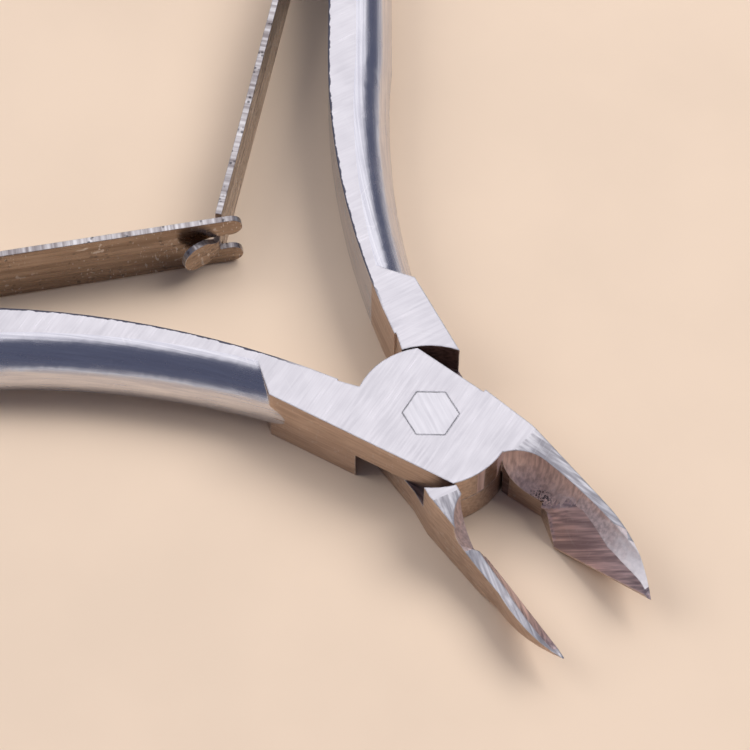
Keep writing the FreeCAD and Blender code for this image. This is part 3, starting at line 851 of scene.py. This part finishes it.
    def ground_to(self, at: np.ndarray, ridge: np.ndarray, border: np.ndarray) -> np.ndarray:
        """Return where points of the inner side lie after grinding.

        Without a strip the facet is y = inset + tan(lean) (z - edge height), where lean grows
        along the jaw; above the ridge the gap between scoop and facet at the ridge, times
        (1 - share of the way up)^2, is taken off the scoop.  With a strip y goes in two straight
        lines, from the edge to a part of the border's y at the ridge, and on to the border.

        Args:
            at: Rows of positions in the jaw's axes.
            ridge: Rows of place along the jaw and height.
            border: Rows of place along the jaw, distance across and height.

        Returns:
            Rows of positions in the jaw's axes.
        """
        x, y, z = at.T
        crest = np.interp(x, ridge[:, 0], ridge[:, 1])
        inset, sharp = self.edge_inset, 0.02 * MM
        edge = self.edge_height + (x - self.heel_reach) * self.edge_rise
        if self.strip:
            side = np.interp(x, border[:, 0], border[:, 1])
            top = np.interp(x, border[:, 0], border[:, 2])
            knee = inset + self.knee_share * (side - inset)
            low = np.clip((z - edge) / np.maximum(crest - edge, sharp), 0.0, 1.0)
            up = np.clip((z - crest) / np.maximum(top - crest, sharp), 0.0, 1.0)
            target = inset + low * (knee - inset) + up * (side - knee)
        else:
            lean = np.tan(np.radians(np.interp(x, LEAN_LINE[0], LEAN_LINE[1])))
            rise = math.radians(self.scoop_rise)
            axis = self.scoop_height + np.maximum(x - self.scoop_start, 0.0) * math.tan(rise)
            drop = (crest - axis) * math.cos(rise)
            hollow = self.scoop_inset + np.sqrt(np.maximum(self.scoop_radius ** 2 - drop ** 2, 0.0))
            gap = np.maximum(hollow - inset - lean * (crest - edge), 0.0)
            top = self.thickness - (x - self.bevel_start) * math.tan(math.radians(self.bevel_fall))
            up = np.clip((z - crest) / np.maximum(top - crest, 0.1 * MM), 0.0, 1.0)
            target = np.where(z <= crest, inset + lean * (z - edge), y - gap * (1.0 - up) ** 2)
        if self.strip:
            share = np.clip((x - self.scoop_start) / self.strip_run, 0.0, 1.0)
        else:
            heel = np.interp(np.minimum(z, crest), HEEL_LINE[1], HEEL_LINE[0])
            share = np.clip((x - heel) / self.heel_run + 0.5, 0.0, 1.0)
        return np.stack([x, y + share * (target - y), z], axis=1)

    def regions(self, centres: np.ndarray, normals: np.ndarray) -> np.ndarray:
        """Sort faces by how they are worked.

        Positions and normals are mirrored to the side with the handle at -Y and turned until the
        cutting edge lies along X.  A flat face points up or down at the top or the underside; a
        bevel face has the bevel's normal; a scoop face lies one scoop radius from the scoop's
        axis; a blade face points across and a little up; a recess face looks at the pivot from
        the other plate's room, or lies level at half the thickness.

        Args:
            centres: Rows of face centres.
            normals: Rows of face normals.

        Returns:
            A region number for every face.
        """
        at = self.to_jaw(centres)
        facing = self.to_jaw(normals)
        region = np.full(len(at), Region.WALL.value)
        rounded = (np.abs(facing[:, 2]) > 0.03) & (at[:, 0] < -3.5 * MM)
        region[rounded | (at[:, 0] < self.bar_start)] = Region.BAR.value
        level = np.abs(facing[:, 2]) > 0.999
        region[level] = Region.FLAT.value
        from_pivot = np.linalg.norm(centres[:, :2], axis=1)
        seat = (from_pivot > self.seat_from) & (from_pivot < self.seat_to)
        room = ~level & seat & (at[:, 0] > -6.0 * MM)
        toward = (centres[:, :2] * normals[:, :2]).sum(axis=1) < 0.0
        region[room & toward] = Region.RECESS.value
        inside = level & (np.abs(centres[:, 2] - self.thickness / 2) < 0.5 * MM)
        region[inside] = Region.RECESS.value
        fall = math.radians(self.bevel_fall)
        slope = facing @ np.array([math.sin(fall), 0.0, math.cos(fall)])
        region[(slope > 0.9995) & (at[:, 0] > self.bevel_start)] = Region.BEVEL.value
        rise = math.radians(self.scoop_rise)
        axis = np.array([math.cos(rise), 0.0, math.sin(rise)])
        start = np.array([self.scoop_start, self.scoop_inset, self.scoop_height])
        away = at - start
        along = np.maximum(away @ axis, 0.0)
        radial = away - along[:, None] * axis
        reach = np.linalg.norm(radial, axis=1)
        inward = (facing * radial).sum(axis=1) < 0.0
        hollow = (reach < self.scoop_radius * 1.01) & (reach > self.scoop_radius * 0.93) & inward
        region[hollow & (at[:, 0] > 5.0 * MM)] = Region.SCOOP.value
        blade = (facing[:, 1] < -0.8) & (facing[:, 2] > 0.12) & (at[:, 0] > 9.5 * MM) & ~hollow
        region[blade] = Region.BLADE.value
        return region

    def grain_turn(self, line: tuple[float, float, float]) -> tuple[float, float, float]:
        """The turn, in degrees about X, Y and Z, that lays a direction in the jaw's axes on X."""
        x, y, z = np.array(line) @ self.jaw_axes
        return math.degrees(math.atan2(y, z)), math.degrees(math.atan2(math.hypot(y, z), x)), 0.0

    def finishes(self) -> tuple[Finish, ...]:
        """Return this lever's finishes, in the order of the regions."""
        lines = 104.0 * self.side
        jaw = self.side * self.jaw_turn
        name = self.name
        return (
            EdgedFinish(name + "_flat", (0.75, 0.735, 0.765), (0.71, 0.695, 0.725), 0.30, 9000.0, 420.0,
                        (0.0, 0.0, lines), 1.0e-6, 0.35, 0.08),
            Finish(name + "_bar", (0.74, 0.74, 0.78), (0.60, 0.60, 0.66), 0.20, 5200.0, 130.0,
                   (0.0, 0.0, 0.0), 1.6e-6, 0.5, 0.10, lay=Lay.RUN),
            Finish(name + "_bevel", (0.90, 0.89, 0.91), (0.56, 0.54, 0.56), 0.40, 5200.0, 70.0,
                   (0.0, 0.0, jaw + 8.0 * self.side), 9.0e-6, 0.6, 0.16),
            ScoopedFinish(name + "_scoop", (0.97, 0.78, 0.72), (0.62, 0.47, 0.43), 0.56, 4200.0, 260.0,
                          (0.0, 90.0, 0.0), 4.0e-6, 0.3, 0.10, metal=0.75, axis=tuple(self.jaw_axes[0]),
                          patch=tuple(ROUGH_PATCH @ self.jaw_axes),
                          rough_patch=self.rough_patch),
            Finish(name + "_blade", (0.90, 0.70, 0.68), (0.40, 0.30, 0.31), 0.50, 4600.0, 130.0,
                   self.grain_turn(FACET_GRAIN), 7.0e-6, 0.3, 0.14, metal=0.9),
            Finish(name + "_wall", (0.70, 0.55, 0.45), (0.52, 0.39, 0.31), 0.32, 4200.0, 180.0,
                   (0.0, 0.0, 0.0), 3.0e-6, 0.5, 0.12, lay=Lay.RUN),
            # Painted shade: the recess colours are dark for the shade that falls in the lap joint.
            Finish(name + "_recess_painted_shade", (0.42, 0.31, 0.29), (0.17, 0.12, 0.11), 0.46, 4200.0, 600.0,
                   (0.0, 0.0, 0.0), 4.0e-6, 0.2, 0.12),
        )

    def dress(self, obj: bpy.types.Object, effects: Effects) -> None:
        """Give the lever's regions their finishes."""
        for finish in self.finishes():
            obj.data.materials.append(finish.dress(effects))


# Small turned pieces


@dataclass
class TurnedPiece:
    """The rivet or a screw: the CAD form with its edges broken."""

    name: str
    node: str
    body: str
    slot: str
    finish: Finish
    edge_break: float = 0.05 * MM

    def build(self) -> bpy.types.Object:
        """Return the piece, with its triangles merged and its edges rounded."""
        mesh = merged_copy(self.node, self.name)
        smooth_and_break(mesh, 30.0)
        obj = new_object(self.name, mesh)
        round_edges(obj, self.edge_break, 30.0)
        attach(obj, self.body)
        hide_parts(self.node)
        return obj

    def dress(self, obj: bpy.types.Object, effects: Effects) -> None:
        """Give the piece its finish."""
        obj.data.materials.append(self.finish.dress(effects))


# Leaf springs


@dataclass
class Leaf:
    """A strip on edge, bent at its knee, with a shaped free end.

    The strip is a sheet worked out on a grid of stations along it and rows up it.  angle is the
    straight run's direction, knee the place of its bend along the seat, reach its length.
    """

    name: str
    node: str
    lever: str
    spring: str
    side: int
    angle: float
    knee: float
    reach: float
    thick: float = 0.45 * MM
    floor: float = 0.1 * MM
    height: float = 5.0 * MM
    knee_radius: float = 3.0 * MM
    tab_end: float = 9.0 * MM
    bend_length: float = 15.0 * MM

    @property
    def middle(self) -> float:
        """Height of the strip's middle line."""
        return self.floor + self.height / 2

    def tip(self) -> tuple[float, float]:
        """Where the straight run ends at its free end, with the seat at -Y."""
        x, y, heading = seat_of(HANDLE)
        seat = math.radians(heading)
        out = seat + math.pi / 2
        run = math.radians(180.0 + self.angle)
        x += self.knee * math.cos(seat) - self.thick / 2 * math.cos(out) - self.reach * math.cos(run)
        y += self.knee * math.sin(seat) - self.thick / 2 * math.sin(out) - self.reach * math.sin(run)
        return x, y

    def tail_steps(self) -> tuple[tuple[float, float | None], ...]:
        """List the steps from the free end of the straight run round the knee to the tab's end."""
        seat = seat_of(HANDLE)[2]
        tangent = self.knee_radius * math.tan(math.radians(180.0 + self.angle - seat) / 2)
        return (
            (self.reach - tangent, None), (self.knee_radius, seat),
            (self.tab_end - self.knee - tangent, None),
        )

    def path(self) -> PlanPath:
        """Return the middle line in plan, from the free end to the tab's end."""
        return PlanPath((*self.tip(), 180.0 + self.angle), self.tail_steps())

    def sheet(self) -> tuple[np.ndarray, np.ndarray, np.ndarray]:
        """Return the grid: distances along, heights, and which cells are there."""
        raise NotImplementedError

    def build(self) -> bpy.types.Object:
        """Carry the sheet along its path and give it thickness.

        A grid point (s, h) on side n = +-thick / 2 lies at path(s) + n (-sin a, cos a), at height
        middle + h, where a is the path's heading.  Both sides share the grid; a cell's four
        corners make one face on each side, and each cell edge with no neighbour makes a rim face.

        Returns:
            The leaf.
        """
        along, rise, cells = self.sheet()
        stations, rows = along.shape
        points, headings = self.path().at(along)
        normal = np.stack([-np.sin(headings), np.cos(headings)], axis=-1)
        sides = []
        for offset in (-self.thick / 2, self.thick / 2):
            plan = points + offset * normal
            plan[..., 1] *= -self.side
            sides.append(np.dstack([plan, self.middle + rise]))
        spots = np.concatenate([side.reshape(-1, 3) for side in sides])
        index = np.arange(stations * rows).reshape(stations, rows)
        quad = np.stack([index[:-1, :-1], index[1:, :-1], index[1:, 1:], index[:-1, 1:]], axis=-1)
        front = quad[cells]
        back = front[:, ::-1] + stations * rows
        rim = self.rim(index, cells, stations * rows)
        faces = np.concatenate([front, back, rim])
        if self.side < 0:
            faces = faces[:, ::-1]
        used = np.unique(faces)
        remap = np.full(len(spots), -1)
        remap[used] = np.arange(len(used))
        mesh = bpy.data.meshes.new(self.name)
        mesh.from_pydata(spots[used].tolist(), [], remap[faces].tolist())
        kinds = np.zeros(len(faces), int)
        kinds[len(front) + len(back):] = 1
        mesh.polygons.foreach_set("material_index", kinds)
        run = np.dstack([along, np.zeros_like(along), rise]).reshape(-1, 3)
        write_run(mesh, np.concatenate([run, run])[used])
        smooth_and_break(mesh, 40.0)
        obj = new_object(self.name, mesh)
        round_edges(obj, 0.06 * MM, 60.0)
        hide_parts(self.node)
        self.bend(obj)
        return obj

    @staticmethod
    def rim(index: np.ndarray, cells: np.ndarray, layer: int) -> np.ndarray:
        """Faces across the thickness wherever a cell has no neighbour.

        Args:
            index: Vertex numbers of the grid.
            cells: Which cells are there.
            layer: How many numbers the other side's vertices lie further on.

        Returns:
            Rows of four vertex numbers.
        """
        padded = np.pad(cells, 1)
        here = padded[1:-1, 1:-1]
        parts = []
        for step, first, second in (
            ((0, 1), (slice(None, -1), slice(None, -1)), (slice(None, -1), slice(1, None))),
            ((2, 1), (slice(1, None), slice(1, None)), (slice(1, None), slice(None, -1))),
            ((1, 0), (slice(1, None), slice(None, -1)), (slice(None, -1), slice(None, -1))),
            ((1, 2), (slice(None, -1), slice(1, None)), (slice(1, None), slice(1, None))),
        ):
            rows, columns = cells.shape
            beside = padded[step[0]:step[0] + rows, step[1]:step[1] + columns]
            bare = here & ~beside
            a, b = index[first][bare], index[second][bare]
            parts.append(np.stack([b, a, a + layer, b + layer], axis=1)[:, ::-1])
        return np.concatenate(parts)

    def bend(self, obj: bpy.types.Object) -> None:
        """Bake the strip's transform into its mesh."""
        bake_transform(obj)

    def dress(self, obj: bpy.types.Object, effects: Effects) -> None:
        """Give the strip its rolled faces, darkened and browned in painted shade, and its blanked rim."""
        # Painted shade: the faces' dark brown colours stand for the shaded, brown surroundings that the
        # faces reflect.
        faces = Finish(self.name + "_rolled_painted_shade", (0.44, 0.34, 0.27), (0.27, 0.19, 0.14), 0.24, 3000.0, 90.0,
                       (0.0, 0.0, 0.0), 3.0e-6, 0.9, 0.16, 0.05 * MM, 0.35, 2200.0, Lay.RUN)
        rim = Finish(self.name + "_blanked", (0.82, 0.80, 0.80), (0.40, 0.35, 0.34), 0.40, 5000.0, 4200.0,
                     (0.0, 0.0, 0.0), 7.0e-6, 0.2, 0.16, 0.05 * MM, 0.5, 3000.0, Lay.RUN)
        for finish in (faces, rim):
            obj.data.materials.append(finish.dress(effects))


@dataclass
class ForkedLeaf(Leaf):
    """The leaf whose free end is slotted into two rounded prongs."""

    slot_height: float = 1.6 * MM
    slot_length: float = 2.3 * MM

    def sheet(self) -> tuple[np.ndarray, np.ndarray, np.ndarray]:
        """Work out the forked sheet.

        Rows run up the lower prong, the slot and the upper prong.  Near the tip a prong's rows
        close on its middle as c + (h - c) sqrt(1 - (1 - s / r)^2), with r half its height.  The
        station at the slot's end bulges by sqrt(q^2 - h^2), with q half the slot's height.

        Returns:
            Distances along, heights, and which cells are there.
        """
        half, slot = self.height / 2, self.slot_height / 2
        prong = (half - slot) / 2
        centre = slot + prong
        upper = centre + prong * np.array([-1.0, -0.5, 0.0, 0.5, 1.0])
        inner = slot * np.array([-0.75, -0.4, 0.0, 0.4, 0.75])
        rows = np.concatenate([-upper[::-1], inner, upper])
        lead = prong * (1.0 - np.cos(np.linspace(0.08, 1.0, 7) * math.pi / 2))
        to_slot = np.linspace(lead[-1], self.slot_length, 4)[1:]
        after = self.slot_length + slot + 0.3 * MM
        rest = np.linspace(after, self.path().length, 56)
        along = np.concatenate([lead, to_slot, rest])[:, None] + np.zeros(len(rows))[None, :]
        rise = rows[None, :] + np.zeros(len(along))[:, None]
        share = np.sqrt(np.clip(1.0 - (1.0 - lead / prong) ** 2, 0.0, 1.0))[:, None]
        mid = np.where(rows > 0, centre, -centre)[None, :]
        arms = np.abs(rows) >= slot * 0.999
        tapered = mid + (rise[:7] - mid) * share
        rise[:7, arms] = tapered[:, arms]
        last = len(lead) + len(to_slot) - 1
        bulge = np.sqrt(np.clip(slot ** 2 - rows ** 2, 0.0, None))
        along[last] += bulge
        cells = np.ones((len(along) - 1, len(rows) - 1), bool)
        cells[:last, 4:10] = False
        return along, rise, cells


@dataclass
class TonguedLeaf(Leaf):
    """The leaf whose free end narrows to a neck and widens again to a bent head."""

    neck_height: float = 1.2 * MM
    neck_length: float = 1.0 * MM
    head_height: float = 2.4 * MM
    head_length: float = 2.7 * MM
    head_bend: float = 45.0
    head_taper: float = 0.9 * MM
    bend_radius: float = 0.5 * MM

    def path(self) -> PlanPath:
        """Return the middle line: head, small bend, neck, run, knee and tab."""
        run = 180.0 + self.angle
        head = run + self.head_bend
        tangent = self.bend_radius * math.tan(math.radians(self.head_bend) / 2)
        x, y = self.tip()
        x -= self.neck_length * math.cos(math.radians(run)) + self.head_length * math.cos(math.radians(head))
        y -= self.neck_length * math.sin(math.radians(run)) + self.head_length * math.sin(math.radians(head))
        tail = self.tail_steps()
        steps = (
            (self.head_length - tangent, None), (self.bend_radius, run),
            (tail[0][0] + self.neck_length - tangent, None), *tail[1:],
        )
        return PlanPath((x, y, head), steps)

    def sheet(self) -> tuple[np.ndarray, np.ndarray, np.ndarray]:
        """Work out the tongued sheet.

        The middle rows run through strip, neck and head; beyond the strip they are scaled by
        half-height over half the neck's height.  The head's half-height is w sqrt(1 - t^2) over
        its round end, w along its flanks, and falls in a straight line to the neck.

        Returns:
            Distances along, heights, and which cells are there.
        """
        half, neck, head = self.height / 2, self.neck_height / 2, self.head_height / 2
        middle = neck * np.linspace(-1.0, 1.0, 7)
        outer = np.linspace(neck, half, 5)[1:]
        rows = np.concatenate([-outer[::-1], middle, outer])
        cap = head * 0.9
        lead = cap * (1.0 - np.cos(np.linspace(0.1, 1.0, 8) * math.pi / 2))
        flank = self.head_length - self.head_taper
        taper = np.linspace(flank, self.head_length, 4)
        tangent = self.bend_radius * math.tan(math.radians(self.head_bend) / 2)
        arc = self.bend_radius * math.radians(self.head_bend)
        shoulder = self.head_length + self.neck_length + arc - 2 * tangent
        neck_run = np.linspace(self.head_length, shoulder, 7)[1:]
        rest = np.linspace(shoulder, self.path().length, 60)[1:]
        stations = np.concatenate([lead, taper, neck_run, rest])
        wide = np.concatenate([
            head * np.sqrt(np.clip(1.0 - (1.0 - lead / cap) ** 2, 0.0, 1.0)),
            np.linspace(head, neck, 4), np.full(len(neck_run) + len(rest), neck),
        ])
        along = stations[:, None] + np.zeros(len(rows))[None, :]
        rise = rows[None, :] + np.zeros(len(stations))[:, None]
        core = slice(4, 11)
        rise[:, core] = rows[None, core] * (wide / neck)[:, None]
        last = len(lead) + len(taper) + len(neck_run) - 1
        cells = np.ones((len(stations) - 1, len(rows) - 1), bool)
        cells[:last, :4] = False
        cells[:last, 10:] = False
        return along, rise, cells


# Set


@dataclass(frozen=True)
class Studio:
    """A pale floor, a broad sky of soft light, two lamps and the camera."""

    back: tuple[float, float, float] = (-0.7122, 0.7019, 0.0)
    floor_colour: tuple[float, float, float] = (0.85, 0.67, 0.50)
    floor_half: float = 1.5
    floor_gap: float = 0.02 * MM

    def floor(self) -> bpy.types.Object:
        """Build the floor: a grid at the underside's level, with the faintest mottling."""
        count = 9
        side = np.linspace(-self.floor_half, self.floor_half, count)
        x, y = np.meshgrid(side, side, indexing="ij")
        spots = np.stack([x, y, np.full_like(x, -self.floor_gap)], axis=-1).reshape(-1, 3)
        index = np.arange(count * count).reshape(count, count)
        quads = np.stack([index[:-1, :-1], index[1:, :-1], index[1:, 1:], index[:-1, 1:]], axis=-1)
        mesh = bpy.data.meshes.new("floor")
        mesh.from_pydata(spots.tolist(), [], quads.reshape(-1, 4).tolist())
        obj = new_object("floor", mesh)
        material = bpy.data.materials.new("pale_floor")
        material.use_nodes = True
        wire = Wiring(material.node_tree)
        material.node_tree.nodes.clear()
        place = wire.add("ShaderNodeTexCoord").outputs["Object"]
        mottle = wire.ramp(wire.noise(place, 60.0, 4.0), 0.3, 0.7)
        deep = tuple(0.95 * c for c in self.floor_colour)
        surface = wire.add("ShaderNodeBsdfPrincipled", {
            "Base Color": wire.mix(mottle, deep, self.floor_colour), "Roughness": 0.55,
        })
        wire.add("ShaderNodeOutputMaterial", {0: surface.outputs[0]})
        mesh.materials.append(material)
        return obj

    def sky(self) -> None:
        """Light the set from above and behind, with a cooler, darker front.

        The light is bright within a cone near the direction in which a level mirror looks from
        the camera, falls off smoothly to a dim cool blue, and rises again near the horizon.
        """
        world = bpy.data.worlds.new("soft_light")
        bpy.context.scene.world = world
        world.use_nodes = True
        wire = Wiring(world.node_tree)
        world.node_tree.nodes.clear()
        toward = wire.add("ShaderNodeTexCoord").outputs["Generated"]
        centre = tuple(0.57 * b + 0.82 * up for b, up in zip(self.back, (0.0, 0.0, 1.0)))
        near = wire.vector("DOT_PRODUCT", toward, centre).outputs["Value"]
        height = wire.add("ShaderNodeSeparateXYZ", {0: toward}).outputs[2]
        dim = wire.mix(wire.ramp(height, 0.32, 0.06), (0.11, 0.12, 0.18), (0.70, 0.68, 0.70))
        bright = wire.mix(wire.ramp(near, 0.83, 0.95), dim, (1.20, 1.17, 1.22))
        seen = wire.add("ShaderNodeLightPath").outputs["Is Camera Ray"]
        colour = wire.mix(seen, bright, (0.90, 0.87, 0.84))
        light = wire.add("ShaderNodeBackground", {"Color": colour, "Strength": 1.0})
        wire.add("ShaderNodeOutputWorld", {0: light.outputs[0]})

    def lamp(self, name: str, spot: tuple[float, float, float], size: float, power: float) -> None:
        """Hang a square lamp that looks at the lap joint.

        Args:
            name: The lamp's name.
            spot: Its place in metres.
            size: Its side in metres.
            power: Its power in watts.
        """
        data = bpy.data.lights.new(name, "AREA")
        data.size = size
        data.energy = power
        data.color = (1.0, 0.985, 0.99)
        obj = bpy.data.objects.new(name, data)
        obj.location = spot
        obj.rotation_euler = (Vector((0.0, 0.0, 0.0)) - Vector(spot)).to_track_quat("-Z", "Y").to_euler()
        obj.visible_glossy = False
        bpy.context.scene.collection.objects.link(obj)

    def camera(self) -> None:
        """Set the camera at the photograph's angle, for a square picture."""
        data = bpy.data.cameras.new("view")
        data.sensor_width = 36.0
        data.lens = 158.28
        data.clip_start = 0.01
        obj = bpy.data.objects.new("view", data)
        obj.location = (0.077719, -0.081869, 0.194085)
        obj.rotation_euler = Euler([math.radians(a) for a in (31.4975, -0.4180, 46.1003)], "XYZ")
        bpy.context.scene.collection.objects.link(obj)
        bpy.context.scene.camera = obj

    def build(self) -> None:
        """Set everything up."""
        self.floor()
        self.sky()
        self.lamp("key", (0.10, 0.42, 0.55), 0.42, 3.3)
        self.lamp("fill", (-0.45, -0.25, 0.50), 0.45, 2.0)
        self.camera()


def main() -> None:
    """Build the set and every piece, and report each."""
    logging.basicConfig(level=logging.INFO, format="%(name)s: %(message)s")
    bpy.context.scene.view_settings.view_transform = "Standard"
    Studio().build()
    effects = Effects()
    turned = Finish("screw_turned", (0.74, 0.73, 0.73), (0.50, 0.49, 0.49), 0.30, 4000.0, 500.0)
    ground = SeamedFinish("rivet_end", (0.80, 0.79, 0.82), (0.74, 0.73, 0.76), 0.30, 7000.0, 320.0,
                          (0.0, 0.0, 20.0), 1.0e-6, 0.5, 0.06)
    pieces = (
        Lever("upper_lever_ground", "upper_lever", "upper", -1, 4.2, 8.1 * MM, 1.0, 0.0),
        Lever("lower_lever_ground", "lower_lever", "lower", 1, 17.2, 8.9 * MM, 0.0, 0.14 * MM),
        TurnedPiece("pivot_rivet_ground", "pivot_rivet", "upper", "rivet_steel", ground),
        TurnedPiece("fork_screw_turned", "fork_leaf_screw", "upper", "screw_steel", turned),
        TurnedPiece("tongue_screw_turned", "tongue_leaf_screw", "lower", "screw_steel", turned),
        ForkedLeaf("forked_leaf_strip", "forked_leaf", "upper", "fork_spring", -1, 57.0, -0.4 * MM,
                   33.8 * MM),
        TonguedLeaf("tongued_leaf_strip", "tongued_leaf", "lower", "tongue_spring", 1, 55.0, 1.1 * MM,
                    32.374 * MM),
    )
    for piece in pieces:
        obj = piece.build()
        piece.dress(obj, effects)
        log.info("%s: %d faces, %d finishes", obj.name, len(obj.data.polygons), len(obj.data.materials))


if __name__ == "__main__":
    main()
